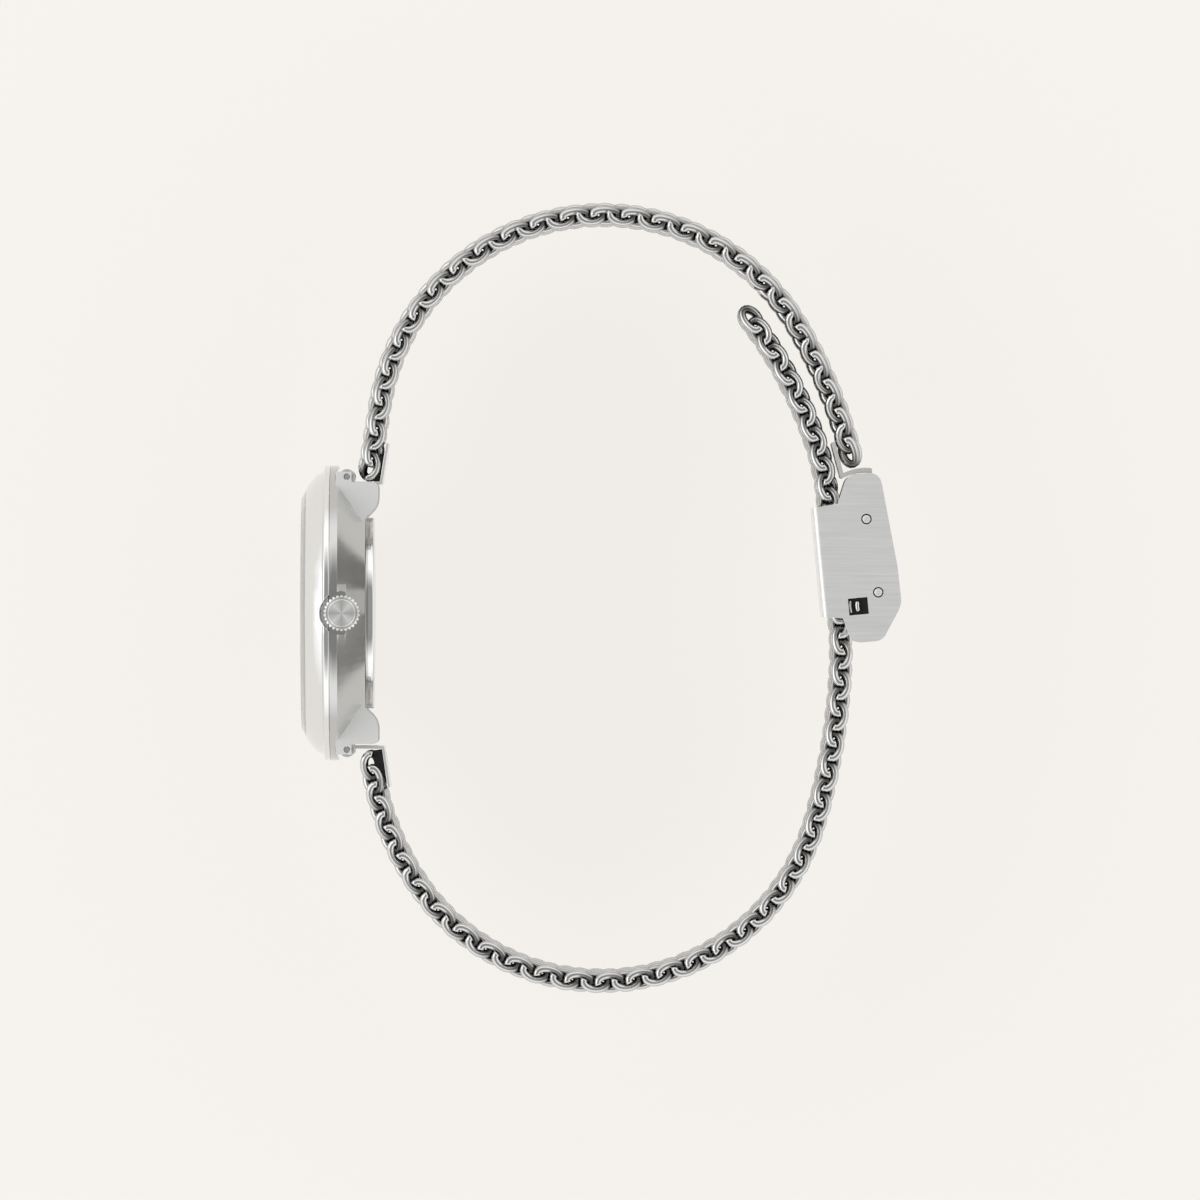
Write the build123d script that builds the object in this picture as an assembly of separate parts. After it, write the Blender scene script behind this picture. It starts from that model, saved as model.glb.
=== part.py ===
from build123d import *
import math
import numpy
import os

# A bracelet watch lying on its side, its strap closed round the wrist opening.
# Lengths are in millimetres and angles in degrees. The origin is the middle of the
# case back's outer face. X runs from there through the wrist opening to the clasp,
# Y to 12 o'clock and Z to the crown at 3 o'clock.

# Fits
running_fit = 0.05
loose_fit = 0.1
overrun = 1.0
flatness = 1e-6

# Case, as radii about the dial's axis and as heights up from the case back
case_radius = 14.0
rim_inset = 3.1
opening_inset = 5.35
back_plate_height = 0.8
shoulder_drop = 0.75
joint_drop = 0.65

# Case back
back_overlap = 0.4
back_lip_height = 0.7

# Movement, hung under the dial
movement_length_share = 0.775
movement_width_share = 0.6
movement_height = 2.9
movement_gap = 0.4
movement_corner_share = 0.154
setting_bay_width = 2.4
setting_bay_length = 1.5
hand_bore_depth = 1.2

# Dial, its markers and the hands
dial_height = 0.4
dial_edge_gap = 0.05
centre_hole_radius = 0.75
marker_count = 12
marker_length = 1.8
marker_width = 0.5
marker_height = 0.1
marker_circle_share = 0.836
quarter_length_share = 1.25
hand_height = 0.12
hour_hand_rise = 0.2
hand_spacing = 0.12
hour_hand_share = 0.527
hour_hand_width = 0.95
minute_hand_share = 0.8
minute_hand_width = 0.75
hand_tip_width = 0.3
hour_pipe_radius = 0.62
minute_post_radius = 0.3
hour_hand_angle = 305
minute_hand_angle = 60

# Crystal and bezel, which press together over the case's neck
bezel_width = 2.3
neck_wall = 0.7
crystal_room = 0.7
crystal_edge_height = 0.6
crystal_dome_height = 0.4
crystal_flat_share = 0.94
bezel_band_height = 0.55
bezel_slope_inset = 0.55
bezel_slope_height = 0.1
bezel_crest_inset = 0.9
bezel_crest_height = 0.7
bezel_front_width = 0.25

# Crown, tube, stem and setting pinion
crown_drop = 1.85
crown_radius = 1.72
crown_flute_depth = 0.16
crown_flute_count = 26
crown_length = 2.3
crown_cap_radius = 1.32
crown_cap_length = 0.22
crown_recess_radius = 2.05
crown_recess_depth = 1.1
crown_skirt_depth = 0.95
tube_radius = 0.9
tube_length = 2.45
tube_stand = 0.75
stem_radius = 0.4
stem_engagement = 0.8
stem_grip = 0.85
pinion_radius = 0.85
pinion_tooth_depth = 0.2
pinion_tooth_count = 10
pinion_length = 1.2
pinion_engagement = 0.7

# Lugs and spring bars
lug_side_gap = 0.1
lug_width = 1.05
lug_reach_inset = 0.6
lug_root_rise = 0.2
lug_top_drop = 1.3
lug_face_inset = 1.6
lug_overhang = 0.42
lug_low_inset = 3.8
lug_tip_height = 1.15
lug_tip_inset = 5.4
lug_corner_radius = 0.5
lug_belly_radius = 2.0
bar_drop = 0.85
bar_inset = 1.08
bar_tube_radius = 0.42
bar_tube_bore = 0.3
bar_end_gap = 0.2
bar_pivot_length = 0.85
bar_tip_inner_length = 2.2
strap_recess_gap = 0.4

# Strap mesh: each row is a half-round wire bent into a flat spiral across the strap
strap_width = 12.0
strap_thickness = 2.2
row_pitch = 1.46
wire_thickness = 0.5
wire_width = 2.15
strands_per_row = 4
loop_clearance = 0.12

# The strap's middle line: how far its first row's middle stands outside the spring
# bar, its heading, and the runs of rows that follow with the turn from row to row
upper_start_height = 0.4
upper_start_gap = 1.08
upper_start_angle = 80.9
upper_run_counts = (4, 36, 9)
upper_turn_angles = (0.0, -3.9, -1.75)
upper_section_counts = (7, 7, 7, 7, 7, 7, 8)
lower_start_height = 0.21
lower_start_gap = 1.58
lower_start_angle = -81.7
lower_run_counts = (8, 33, 10, 3)
beyond_run_counts = (4, 9)
lower_turn_angles = (3.1, 3.96, 1.34, 2.75, 0.0, 3.4, 2.0)
lower_section_counts = (7, 7, 7, 7, 7, 7, 7)
clasp_extra_rows_count = 6
tail_section_counts = (6, 7)
clasp_row_count = 58

# Where the upper strap's last row lies in the clasp's frame when the loop is closed
last_row_side_gap = 0.37
last_row_gap = 2.022
last_row_angle = -170.68
closing_steps_count = 6

# Folded sheet ends that carry the strap on its spring bars
end_sheet_thickness = 0.28
end_sheet_gap = 0.1
upper_base_drop = 0.6
lower_base_drop = 0.2
end_leg_length = 3.7

# Clasp, in its own frame: X outward from the strap's middle line, Y along the
# strap towards 12 o'clock and Z across it, from the middle of the channel
clasp_sheet_thickness = 0.5
clasp_plate_thickness = 0.8
clasp_side_gap = 0.15
clasp_strap_gap = 0.06
clasp_fold_radius = 0.6
clasp_plate_depth = 7.65
clasp_plate_length = 15.95
clasp_plate_drop = 7.85
clasp_plate_shares = (
    (0.0, 0.172), (0.255, 0.154), (0.34, 0.0), (0.72, 0.0), (1.0, 0.203),
    (0.993, 0.422), (0.882, 1.0), (0.477, 1.0), (0.327, 0.834), (0.0, 0.822),
)
clasp_corner_shares = (0.0, 0.0, 0.17, 0.15, 0.3, 0.0, 0.16, 0.15, 0.0, 0.0)
clasp_window_width = 1.85
clasp_window_height = 1.6
clasp_window_across = 1.87
clasp_window_along = -4.4
clasp_open_rows_count = 3
hook_bar_inset = 2.58
hook_head_radius = 4.35
lever_pin_across = 3.87
lever_pin_along = -3.26
clasp_pin_radius = 0.5

# Hook sheet that joins the 12 o'clock side of the strap to the clasp
hook_thickness = 0.4
hook_tongue_share = 0.667
hook_fit = 0.08
hook_arch_gap = 0.12
hook_leg_gap = 0.41
hook_curl_end_angle = -165
hook_leg_lean = 0.52
hook_leg_length = 3.1

# Lever that covers the outside of the clasp and grips the strap with its cam
lever_inset = 0.1
lever_cover_thickness = 0.4
lever_root_thickness = 0.7
lever_side_gap = 0.1
lever_hub_radius = 1.5
lever_cam_reach = 2.55
lever_cam_angle = 208
lever_cam_tip_radius = 0.3
lever_top_gap = 1.3
lever_heel_reach = 2.3
lever_heel_angles = (-55, -82)
lever_flank_angle = 125

# Seats of the head, counted from the case back towards the crystal
dial_seat_height = back_plate_height + back_lip_height + movement_gap + movement_height
dial_face_height = dial_seat_height + dial_height
joint_height = dial_seat_height - joint_drop
shoulder_height = joint_height - shoulder_drop
crystal_seat_height = dial_face_height + crystal_room
crystal_edge_top = crystal_seat_height + crystal_edge_height
hour_hand_low = dial_face_height + hour_hand_rise
minute_hand_low = hour_hand_low + hand_height + hand_spacing
crown_height = dial_seat_height - crown_drop
lug_root_height = shoulder_height + lug_root_rise
lug_top_height = shoulder_height - lug_top_drop
bar_height = shoulder_height - bar_drop

# Radii and lengths of the head that follow from the case
rim_radius = case_radius - rim_inset
opening_radius = case_radius - opening_inset
back_radius = opening_radius + back_overlap
neck_outer_radius = case_radius - bezel_width
neck_inner_radius = neck_outer_radius - neck_wall
movement_length = movement_length_share * 2 * opening_radius
movement_width = movement_width_share * 2 * opening_radius
movement_corner = movement_corner_share * movement_width
marker_circle_radius = marker_circle_share * neck_inner_radius
hour_hand_length = hour_hand_share * neck_inner_radius
minute_hand_length = minute_hand_share * neck_inner_radius
crown_recess_floor = case_radius - crown_recess_depth
crown_start = crown_recess_floor + loose_fit
stem_inner_end = movement_length / 2 - stem_engagement
pinion_start = movement_length / 2 - pinion_engagement

# Places of the lugs and of the spring bars
lug_reach = case_radius - lug_reach_inset
lug_face_reach = case_radius - lug_face_inset
lug_low_reach = case_radius - lug_low_inset
lug_tip_reach = case_radius - lug_tip_inset
bar_reach = case_radius - bar_inset
lug_gap = strap_width + 2 * lug_side_gap
bar_tube_length = lug_gap - 2 * bar_end_gap
bar_tip_radius = bar_tube_bore - running_fit
eye_radius = bar_tube_radius + running_fit + end_sheet_thickness / 2

# Places that follow from the mesh
row_reach = (row_pitch + wire_thickness + loop_clearance) / 2
strand_level = (strap_thickness - wire_thickness) / 2
strand_spacing = (strap_width - wire_width) / (strands_per_row - 1)

# Places in the clasp's frame, and the rows of mesh that its channel holds
clasp_base_back = -strap_thickness / 2 - clasp_strap_gap - clasp_sheet_thickness
clasp_plate_top = clasp_plate_length - clasp_plate_drop
hook_bar_across = clasp_base_back + clasp_plate_depth - hook_bar_inset
hook_bar_along = clasp_plate_top - hook_head_radius
hook_leg_across = strap_thickness / 2 + hook_leg_gap
last_row_across = strap_thickness + last_row_side_gap
channel_rows_count = round(clasp_plate_length / row_pitch) - clasp_open_rows_count
lower_run_counts += (channel_rows_count, *beyond_run_counts)
lower_section_counts += (channel_rows_count + clasp_extra_rows_count,)


def at_height(height):
    """The place of a height above the case back, on the dial's axis."""
    return -height


def turned(*outline):
    """A ring or disc about the dial's axis, from its (height, radius) outline."""
    points = [(at_height(height), radius) for height, radius in outline]
    return revolve(make_face(Polyline(*points, close=True)), Axis.X)


def disc(radius, low, high, hole=0.0):
    """A plain disc or ring about the dial's axis between two heights."""
    return turned((low, hole), (low, radius), (high, radius), (high, hole))


def pin(radius, start, end):
    """A round pin along Z between two places."""
    return Pos(0, 0, start) * Cylinder(
        radius, end - start, align=(Align.CENTER, Align.CENTER, Align.MIN)
    )


def sleeve(radius, hole, start, end):
    """A round sleeve along Z with a bore right through it."""
    return pin(radius, start, end) - pin(hole, start - overrun, end + overrun)


def across(outline, width):
    """A closed outline made as wide as given, half of it to each side."""
    return extrude(make_face(outline), width / 2, both=True)


def polar(centre, radius, angle):
    """The point at a radius and an angle about a centre."""
    turn = math.radians(angle)
    return (centre[0] + radius * math.cos(turn), centre[1] + radius * math.sin(turn))


def bent_sheet(path, thickness, width):
    """A sheet that follows a path in the side view, with rounded free edges."""
    edges = offset(path, amount=thickness / 2, side=Side.BOTH).edges()
    return across(edges, width)


def toothed_wheel(radius, depth, count, start, end):
    """A fluted round bar along Z: count teeth of a depth, cut into a radius."""
    points = []
    for tooth in range(count):
        points.append(polar((0, 0), radius, 360 * tooth / count))
        points.append(polar((0, 0), radius - depth, 360 * (tooth + 0.5) / count))
    wheel = extrude(make_face(Polyline(*points, close=True)), end - start)
    return Pos(0, 0, start) * wheel


# The crown's recess and the lugs are cut and added on the side that they serve
crown_place = Pos(at_height(crown_height), 0, 0)
upper_bar = (at_height(bar_height), bar_reach)
lower_bar = (at_height(bar_height), -bar_reach)


def crown_recess():
    """The round scallop that lets a finger reach the crown."""
    return crown_place * pin(crown_recess_radius, crown_recess_floor, case_radius + overrun)


def lug_outline():
    """The side of a 12 o'clock lug: a block round the bar and a curved horn below."""
    root, top = at_height(lug_root_height), at_height(lug_top_height)
    corner = (lug_overhang, lug_face_reach)
    belly = (lug_overhang, lug_low_reach)
    outline = Polyline(
        (root, lug_reach),
        (top, lug_reach),
        (top, lug_face_reach),
        corner,
        belly,
        (at_height(lug_tip_height), lug_tip_reach),
        (root, lug_low_reach + lug_corner_radius),
        close=True,
    )
    face = make_face(outline)
    for place, radius in ((corner, lug_corner_radius), (belly, lug_belly_radius)):
        near = face.vertices().sort_by_distance((place[0], place[1], 0))[0]
        face = fillet(near, radius)
    return face


def lug(side):
    """One lug, on the crown's side or on the other."""
    start = lug_gap / 2 if side > 0 else -lug_gap / 2 - lug_width
    return Pos(0, 0, start) * extrude(lug_outline(), lug_width)


def lug_hole(side):
    """The drilled hole for a spring bar's tip."""
    start, end = lug_gap / 2 - overrun, lug_gap / 2 + lug_width + overrun
    hole = pin(bar_tip_radius + running_fit, start, end)
    hole = Pos(*upper_bar) * hole
    return hole if side > 0 else mirror(hole, Plane.XY)


def strap_recess():
    """The room between two lugs for the strap's end to swing in."""
    outer = eye_radius + end_sheet_thickness / 2 + strap_recess_gap
    return Pos(*upper_bar) * pin(outer, -lug_gap / 2, lug_gap / 2)


def mid_case():
    """The case band: a bowl with a neck in front, four lugs and the crown's seat."""
    bowl = turned(
        (back_plate_height, opening_radius),
        (back_plate_height, rim_radius),
        (shoulder_height, case_radius),
        (joint_height, case_radius),
        (joint_height, neck_outer_radius),
        (crystal_seat_height, neck_outer_radius),
        (crystal_seat_height, neck_inner_radius),
        (dial_seat_height, neck_inner_radius),
        (dial_seat_height, opening_radius),
    )
    lugs = [lug(side) for side in (1, -1)]
    cuts = [lug_hole(side) for side in (1, -1)] + [strap_recess()]
    lugs += [mirror(piece, Plane.XZ) for piece in lugs]
    cuts += [mirror(piece, Plane.XZ) for piece in cuts]
    cuts.append(crown_recess())
    cuts.append(crown_place * pin(tube_radius, movement_length / 2, case_radius))
    return bowl.fuse(*lugs).cut(*cuts)


def bezel():
    """The polished ring that presses over the case's neck and the crystal."""
    band_top = joint_height + bezel_band_height
    slope_top = band_top + bezel_slope_height
    bore = neck_outer_radius + running_fit
    ring = turned(
        (joint_height, bore),
        (joint_height, case_radius),
        (band_top, case_radius),
        (slope_top, case_radius - bezel_slope_inset),
        (slope_top + bezel_crest_height, case_radius - bezel_crest_inset),
        (crystal_edge_top - running_fit, neck_outer_radius + bezel_front_width),
        (crystal_edge_top - running_fit, bore),
    )
    return ring - crown_recess()


def crystal():
    """The crystal: a disc with a raised front, seated on the case's neck."""
    return turned(
        (crystal_seat_height, 0),
        (crystal_seat_height, neck_outer_radius),
        (crystal_edge_top, neck_outer_radius),
        (crystal_edge_top + crystal_dome_height, crystal_flat_share * neck_outer_radius),
        (crystal_edge_top + crystal_dome_height, 0),
    )


def dial():
    """The dial, on its seat inside the case's neck, open in the middle."""
    radius = neck_inner_radius - dial_edge_gap
    return disc(radius, dial_seat_height, dial_face_height, centre_hole_radius)


def hour_markers():
    """One applied bar at each hour, longer at the quarters."""
    bars = []
    for hour in range(marker_count):
        share = quarter_length_share if hour % 3 == 0 else 1
        bar = Box(marker_height, share * marker_length, marker_width)
        place = Pos(at_height(dial_face_height + marker_height / 2), marker_circle_radius, 0)
        bars.append(Rot(360 * hour / marker_count, 0, 0) * place * bar)
    return Compound(children=bars)


def blade(length, width, low):
    """A tapered hand on the dial's axis, pointing at 12 o'clock."""
    corners = [
        (-width, -width / 2),
        (length, -hand_tip_width / 2),
        (length, hand_tip_width / 2),
        (-width, width / 2),
    ]
    outline = Plane.YZ * make_face(Polyline(*corners, close=True))
    return Pos(at_height(low + hand_height), 0, 0) * extrude(outline, hand_height)


def hour_hand():
    """The hour hand, with the pipe that turns in the movement."""
    top = hour_hand_low + hand_height
    bottom = dial_seat_height - hand_bore_depth / 2
    hand = blade(hour_hand_length, hour_hand_width, hour_hand_low)
    hand += disc(hour_pipe_radius, bottom, top)
    bore = disc(minute_post_radius + running_fit, bottom - overrun, top + overrun)
    return Rot(hour_hand_angle, 0, 0) * (hand - bore)


def minute_hand():
    """The minute hand, with the post that turns inside the hour hand's pipe."""
    bottom = dial_seat_height - hand_bore_depth
    hand = blade(minute_hand_length, minute_hand_width, minute_hand_low)
    hand += disc(minute_post_radius, bottom, minute_hand_low + hand_height / 2)
    return Rot(minute_hand_angle, 0, 0) * hand


def movement():
    """The movement: a plate with cut corners, a bore for the hands and a pinion bay."""
    half_length, half_width = movement_length / 2, movement_width / 2
    outline = Polyline(
        (half_width - movement_corner, -half_length),
        (half_width, movement_corner - half_length),
        (half_width, half_length - movement_corner),
        (half_width - movement_corner, half_length),
        (movement_corner - half_width, half_length),
        (-half_width, half_length - movement_corner),
        (-half_width, movement_corner - half_length),
        (movement_corner - half_width, -half_length),
        close=True,
    )
    plate = extrude(Plane.YZ * make_face(outline), movement_height)
    plate = Pos(at_height(dial_seat_height), 0, 0) * plate
    bore_radius = hour_pipe_radius + running_fit
    bore = disc(bore_radius, dial_seat_height - hand_bore_depth, dial_seat_height + overrun)
    return plate - bore - setting_bay()


def setting_bay():
    """The open bay in the movement's edge where the setting pinion turns."""
    bay = Box(
        setting_bay_width,
        setting_bay_width,
        setting_bay_length + overrun,
        align=(Align.CENTER, Align.CENTER, Align.MIN),
    )
    return crown_place * Pos(0, 0, movement_length / 2 - setting_bay_length) * bay


def case_back():
    """The case back: a flat plate with a lip that enters the case."""
    lip_radius = opening_radius - running_fit
    lip_top = back_plate_height + back_lip_height
    return turned(
        (0, 0),
        (0, back_radius),
        (back_plate_height, back_radius),
        (back_plate_height, lip_radius),
        (lip_top, lip_radius),
        (lip_top, 0),
    )


def crown():
    """The fluted crown, with a raised cap and a skirt that slides over the tube."""
    top = crown_start + crown_length
    skirt_top = crown_start + crown_skirt_depth
    body = toothed_wheel(crown_radius, crown_flute_depth, crown_flute_count, crown_start, top)
    body += pin(crown_cap_radius, top, top + crown_cap_length)
    skirt = pin(tube_radius + running_fit, crown_start - overrun, skirt_top)
    bore = pin(stem_radius, crown_start, skirt_top + stem_grip)
    return crown_place * (body - skirt - bore)


def crown_tube():
    """The tube pressed through the case wall that guides the stem."""
    end = crown_recess_floor + tube_stand
    return crown_place * sleeve(tube_radius, stem_radius + running_fit, end - tube_length, end)


def stem():
    """The stem, from the setting pinion through the tube into the crown."""
    end = crown_start + crown_skirt_depth + stem_grip
    return crown_place * pin(stem_radius, stem_inner_end, end)


def setting_pinion():
    """The toothed pinion that the stem turns and slides in."""
    end = pinion_start + pinion_length
    wheel = toothed_wheel(
        pinion_radius, pinion_tooth_depth, pinion_tooth_count, pinion_start, end
    )
    return crown_place * (wheel - pin(stem_radius + running_fit, 0, case_radius))


def bar_tube(bar):
    """A spring bar's tube, open at both ends."""
    half = bar_tube_length / 2
    return Pos(*bar) * sleeve(bar_tube_radius, bar_tube_bore, -half, half)


def bar_tip(bar, side):
    """A spring bar's tip, which slides in the tube and stands out into the lug."""
    end = bar_tube_length / 2
    tip = pin(bar_tip_radius, end - bar_tip_inner_length, end + bar_pivot_length)
    tip = tip if side > 0 else mirror(tip, Plane.XY)
    return Pos(*bar) * tip


def strap_rows(start, heading, run_counts, turn_angles):
    """The middle point and the heading of each row along the strap."""
    rows = [(start, heading)]
    for count, turn in zip(run_counts, turn_angles):
        for _ in range(count):
            hinge = polar(rows[-1][0], row_pitch / 2, rows[-1][1])
            new_heading = rows[-1][1] + turn
            rows.append((polar(hinge, row_pitch / 2, new_heading), new_heading))
    return rows


def both_sides(upper_long_turn, lower_long_turn, lower_last_turn):
    """The rows of both sides of the strap, with the three turns that close the loop."""
    upper_turns = (upper_turn_angles[0], upper_long_turn, *upper_turn_angles[2:])
    lower_turns = (lower_turn_angles[0], lower_long_turn, lower_last_turn, *lower_turn_angles[3:])
    upper_start = (at_height(upper_start_height), bar_reach + upper_start_gap)
    lower_start = (at_height(lower_start_height), -bar_reach - lower_start_gap)
    upper = strap_rows(upper_start, upper_start_angle, upper_run_counts, upper_turns)
    lower = strap_rows(lower_start, lower_start_angle, lower_run_counts, lower_turns)
    return upper, lower


def closing_error(turns):
    """How far the upper strap's last row lies from its place in the clasp's frame."""
    upper, lower = both_sides(*turns)
    (x, y), heading = upper[-1]
    (clasp_x, clasp_y), clasp_heading = lower[clasp_row_count]
    tilt = math.radians(clasp_heading - 90)
    across_now = (x - clasp_x) * math.cos(tilt) + (y - clasp_y) * math.sin(tilt)
    along_now = (y - clasp_y) * math.cos(tilt) - (x - clasp_x) * math.sin(tilt)
    turned_now = heading - clasp_heading
    return numpy.array(
        [
            across_now - last_row_across,
            along_now - (clasp_plate_top + last_row_gap),
            turned_now - last_row_angle,
        ]
    )


def closed_turns():
    """The turns from row to row that bring the hook to its bar, whatever the case."""
    turns = numpy.array([upper_turn_angles[1], lower_turn_angles[1], lower_turn_angles[2]])
    for _ in range(closing_steps_count):
        error = closing_error(turns)
        slopes = [(closing_error(turns + step) - error) for step in numpy.eye(len(turns))]
        turns = turns - numpy.linalg.solve(numpy.array(slopes).T, error)
    return turns


upper_rows, lower_rows = both_sides(*closed_turns())


def wire_section(outer, inner, middle):
    """Three corners of the half-round wire: its flat's two edges and its ridge."""
    low, high = middle - wire_width / 2, middle + wire_width / 2
    return [Vector(*outer, low), Vector(*outer, high), Vector(*inner, middle)]


def fold(side, level, middle):
    """The mitred section where the wire bends square, flat outward."""
    half = wire_thickness / 2
    outer = (side * (row_reach + half), level * (strand_level + half))
    inner = (side * (row_reach - half), level * (strand_level - half))
    return wire_section(outer, inner, middle)


def cut_end(side, level, middle):
    """The square section where the wire is cut off."""
    half = wire_thickness / 2
    end = side * (row_reach + half)
    outer = (end, level * (strand_level + half))
    inner = (end, level * (strand_level - half))
    return wire_section(outer, inner, middle)


def wire_folds(first_level):
    """The sections at the bends of one row, strand after strand across the strap."""
    folds = []
    side, level = -1, first_level
    for strand in range(strands_per_row):
        middle = (strand - (strands_per_row - 1) / 2) * strand_spacing
        first, last = strand == 0, strand == strands_per_row - 1
        folds.append((cut_end if first else fold)(side, level, middle))
        side = -side
        folds.append((cut_end if last else fold)(side, level, middle))
        level = -level
    return folds


def flat_faces(corners):
    """The flat face through four corners, or two triangles where they twist."""
    first, second, third, fourth = corners
    normal = (second - first).cross(fourth - first)
    if abs(normal.dot(third - first)) < flatness:
        return [Face(Wire.make_polygon(corners))]
    halves = ([first, second, third], [first, third, fourth])
    return [Face(Wire.make_polygon(half)) for half in halves]


def spiral_row(first_level):
    """One row of the mesh: half-round wire folded into a spiral across the strap."""
    folds = wire_folds(first_level)
    faces = [Face(Wire.make_polygon(section)) for section in (folds[0], folds[-1])]
    for start, end in zip(folds, folds[1:]):
        for corner in range(len(start)):
            beside = (corner + 1) % len(start)
            faces += flat_faces([start[corner], start[beside], end[beside], end[corner]])
    return Solid(Shell(faces))


def placed(row, frame):
    """A row set on the strap's middle line."""
    (x, y), heading = frame
    return Pos(x, y, 0) * Rot(0, 0, heading) * row


def mesh_sections(rows, counts):
    """The rows of a strap, hooked through each other and grouped section by section."""
    kinds = [spiral_row(1), spiral_row(-1)]
    sections, done = [], 0
    for count in counts:
        group = [placed(kinds[i % 2], rows[i]) for i in range(done, done + count)]
        sections.append(Compound(children=group))
        done += count
    return sections


def strap_end(bar, base_drop, row, side):
    """The folded sheet on a spring bar: an eye, a base and a leg behind the mesh."""
    (x, y), heading = row
    level = bar[1] - side * base_drop
    reach = strap_thickness / 2 + end_sheet_gap + end_sheet_thickness / 2
    beside = polar((x, y), reach, heading - side * 90)
    back = (level - beside[1]) / math.sin(math.radians(heading))
    corner = polar(beside, back, heading)
    tip = polar(corner, end_leg_length, heading)
    eye_out = math.sqrt(eye_radius**2 - base_drop**2)
    path = Polyline((bar[0] + eye_out, level), corner, tip)
    sheet = bent_sheet(path, end_sheet_thickness, strap_width)
    inner = eye_radius - end_sheet_thickness / 2
    half = strap_width / 2
    eye = Pos(*bar) * sleeve(eye_radius + end_sheet_thickness / 2, inner, -half, half)
    return eye + (sheet - Pos(*bar) * pin(inner, -strap_width, strap_width))


(clasp_x, clasp_y), clasp_heading = lower_rows[clasp_row_count]
clasp_place = Pos(clasp_x, clasp_y, 0) * Rot(0, 0, clasp_heading - 90)
channel_half_width = strap_width / 2 + clasp_side_gap
hook_bar_point = (hook_bar_across, hook_bar_along)
lever_pin_point = (lever_pin_across, lever_pin_along)


def clasp_corners():
    """The corners of the clasp's side plate, before they are rounded."""
    return [
        (
            clasp_base_back + across_share * clasp_plate_depth,
            along_share * clasp_plate_length - clasp_plate_drop,
        )
        for across_share, along_share in clasp_plate_shares
    ]


def plate_outline():
    """The side plate's outline: a rounded head over the hook and a rounded foot."""
    corners = clasp_corners()
    face = make_face(Polyline(*corners, close=True))
    for corner, share in zip(corners, clasp_corner_shares):
        if share:
            near = face.vertices().sort_by_distance((corner[0], corner[1], 0))[0]
            face = fillet(near, share * clasp_plate_depth)
    return face


def side_plate():
    """One side plate, with its window and its two rivet holes."""
    window = Pos(clasp_window_across, clasp_window_along) * Rectangle(
        clasp_window_width, clasp_window_height
    )
    holes = [Pos(*place) * Circle(clasp_pin_radius) for place in (hook_bar_point, lever_pin_point)]
    plate = plate_outline() - window - holes[0] - holes[1]
    return Pos(0, 0, channel_half_width) * extrude(plate, clasp_plate_thickness)


def clasp_body():
    """The clasp's channel: a base on the wrist side and a plate up each side."""
    corners = clasp_corners()
    length = corners[-1][1] - corners[0][1]
    width = 2 * (channel_half_width + clasp_plate_thickness)
    base = Box(clasp_sheet_thickness, length, width, align=(Align.MIN, Align.MIN, Align.CENTER))
    base = Pos(clasp_base_back, corners[0][1], 0) * base
    plate = side_plate()
    channel = base.fuse(plate, mirror(plate, Plane.XY))
    folds = [
        edge
        for edge in channel.edges().filter_by(Axis.Y)
        if abs(edge.center().X - clasp_base_back) < loose_fit
        and abs(edge.center().Z) > channel_half_width
    ]
    return clasp_place * fillet(folds, clasp_fold_radius)


def clasp_pin(point):
    """A pin riveted through both side plates."""
    half = channel_half_width + clasp_plate_thickness
    return clasp_place * Pos(*point) * pin(clasp_pin_radius, -half, half)


def hook_path():
    """The hook sheet in the side view: leg, arch over the plates, tongue and curl."""
    curl_radius = clasp_pin_radius + hook_fit + hook_thickness / 2
    arch_radius = hook_head_radius + hook_arch_gap + hook_thickness / 2
    start_angle = math.degrees(math.acos((hook_leg_across - hook_bar_across) / arch_radius))
    start = polar(hook_bar_point, arch_radius, start_angle)
    end_angle = math.degrees(math.acos(curl_radius / arch_radius))
    middle_angle = (start_angle + end_angle) / 2
    end = polar(hook_bar_point, arch_radius, end_angle)
    side = polar(hook_bar_point, curl_radius, 0)
    leg = Line((start[0] - hook_leg_lean, start[1] + hook_leg_length), start)
    arch = ThreePointArc(start, polar(hook_bar_point, arch_radius, middle_angle), end)
    tongue = Line(end, side)
    curl = ThreePointArc(
        side,
        polar(hook_bar_point, curl_radius, hook_curl_end_angle / 2),
        polar(hook_bar_point, curl_radius, hook_curl_end_angle),
    )
    return leg, arch, tongue, curl


def hook_sheet():
    """The hook: as wide as the strap above the clasp, narrower between its plates."""
    leg, arch, tongue, curl = hook_path()
    head = bent_sheet(Wire([leg, arch]), hook_thickness, strap_width)
    tail = bent_sheet(Wire([tongue, curl]), hook_thickness, hook_tongue_share * strap_width)
    return clasp_place * (head + tail)


def plate_edge(along):
    """How far out the side plate's straight outer edge lies at a place along it."""
    low, high = clasp_corners()[5], clasp_corners()[6]
    share = (along - low[1]) / (high[1] - low[1])
    return low[0] + share * (high[0] - low[0])


def lever_outline():
    """The lever in the side view: its cover, its hub and the cam's nose."""
    top = clasp_plate_top - lever_top_gap
    knee = lever_pin_along + lever_hub_radius
    outer_top = (plate_edge(top) - lever_inset, top)
    outer_knee = (plate_edge(knee) - lever_inset, knee)
    inner_top = (outer_top[0] - lever_cover_thickness, top)
    inner_knee = (outer_knee[0] - lever_root_thickness, knee + lever_hub_radius)
    heels = [polar(lever_pin_point, lever_heel_reach, angle) for angle in lever_heel_angles]
    flank = polar(lever_pin_point, lever_hub_radius, lever_flank_angle)
    nose = polar(lever_pin_point, lever_cam_reach, lever_cam_angle)
    side = (outer_knee[0], lever_pin_along)
    corners = [outer_top, outer_knee, side, heels[0], heels[1], nose, flank, inner_knee, inner_top]
    face = make_face(Polyline(*corners, close=True))
    near = face.vertices().sort_by_distance((nose[0], nose[1], 0))[0]
    return fillet(near, lever_cam_tip_radius)


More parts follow.
